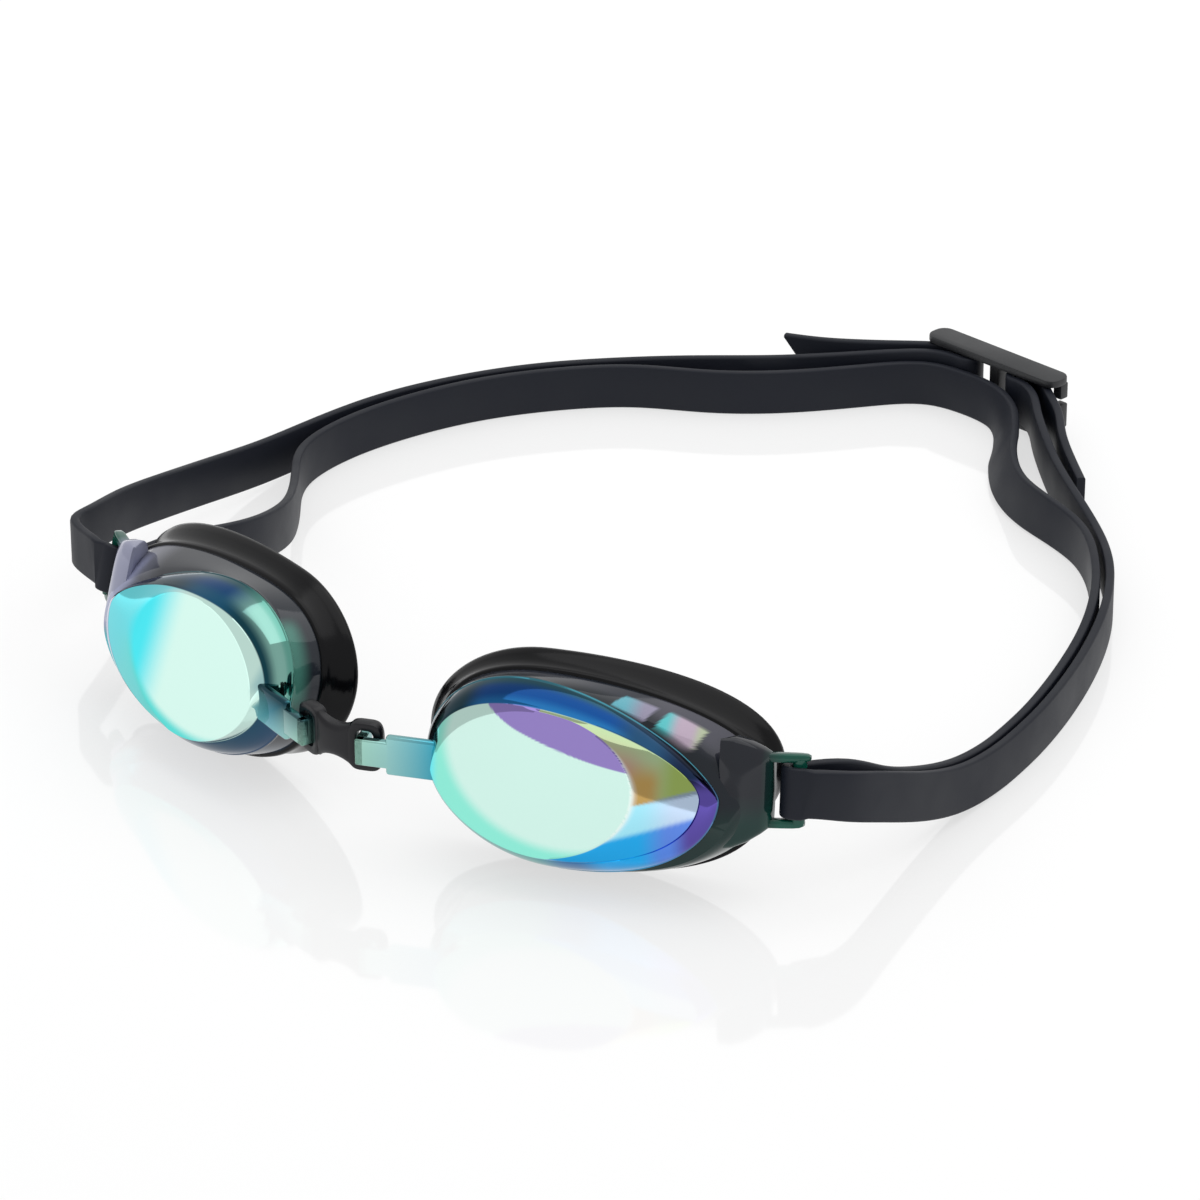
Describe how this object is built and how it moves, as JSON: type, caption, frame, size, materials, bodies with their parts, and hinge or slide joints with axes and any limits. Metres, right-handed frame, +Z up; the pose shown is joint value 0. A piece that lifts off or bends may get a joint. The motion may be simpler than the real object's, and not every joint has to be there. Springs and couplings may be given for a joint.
{
  "type": "swim goggles",
  "caption": "Swim goggles with mirrored teardrop lenses, soft gaskets, a hooked-on nosepiece, a looped silicone strap and a rear strap clip.",
  "frame": {"origin": "middle of the bottom of the bounding box, on the surface that the goggles rest on", "axes": "+Z up, the lenses look along -Y, the wearer's left is +X"},
  "size_m": [0.1646, 0.2016, 0.0317],
  "materials": {
    "lens": "mirror-coated smoke polycarbonate, polished",
    "gasket": "soft black silicone with a satin gloss",
    "nosepiece": "firm black elastomer, satin",
    "strap": "matte charcoal silicone",
    "clip": "fine matte moulded plastic"
  },
  "bodies": {
    "strap_and_nosepiece": {"head_strap": "strap", "nosepiece": "nosepiece"},
    "left_lens_unit": {"left_lens": "lens", "left_gasket": "gasket"},
    "right_lens_unit": {"right_lens": "lens", "right_gasket": "gasket"},
    "clip_unit": {"strap_clip": "clip"}
  },
  "joints": [
    {"name": "left_lens_swing", "type": "hinge", "parent": "strap_and_nosepiece", "child": "left_lens_unit", "pos_m": [0.01523, -0.09678, 0.0182], "axis": [0, 0, 1], "range_deg": [-10, 10], "deforming": ["head_strap"]},
    {"name": "right_lens_swing", "type": "hinge", "parent": "strap_and_nosepiece", "child": "right_lens_unit", "pos_m": [0.00016, -0.09678, 0.0182], "axis": [0, 0, -1], "range_deg": [-10, 10], "deforming": ["head_strap"]},
    {"name": "clip_slide", "type": "slide", "parent": "strap_and_nosepiece", "child": "clip_unit", "axis": [0.9851, -0.1719, 0], "range_m": [-0.005, 0.005], "deforming": ["head_strap"]}
  ]
}
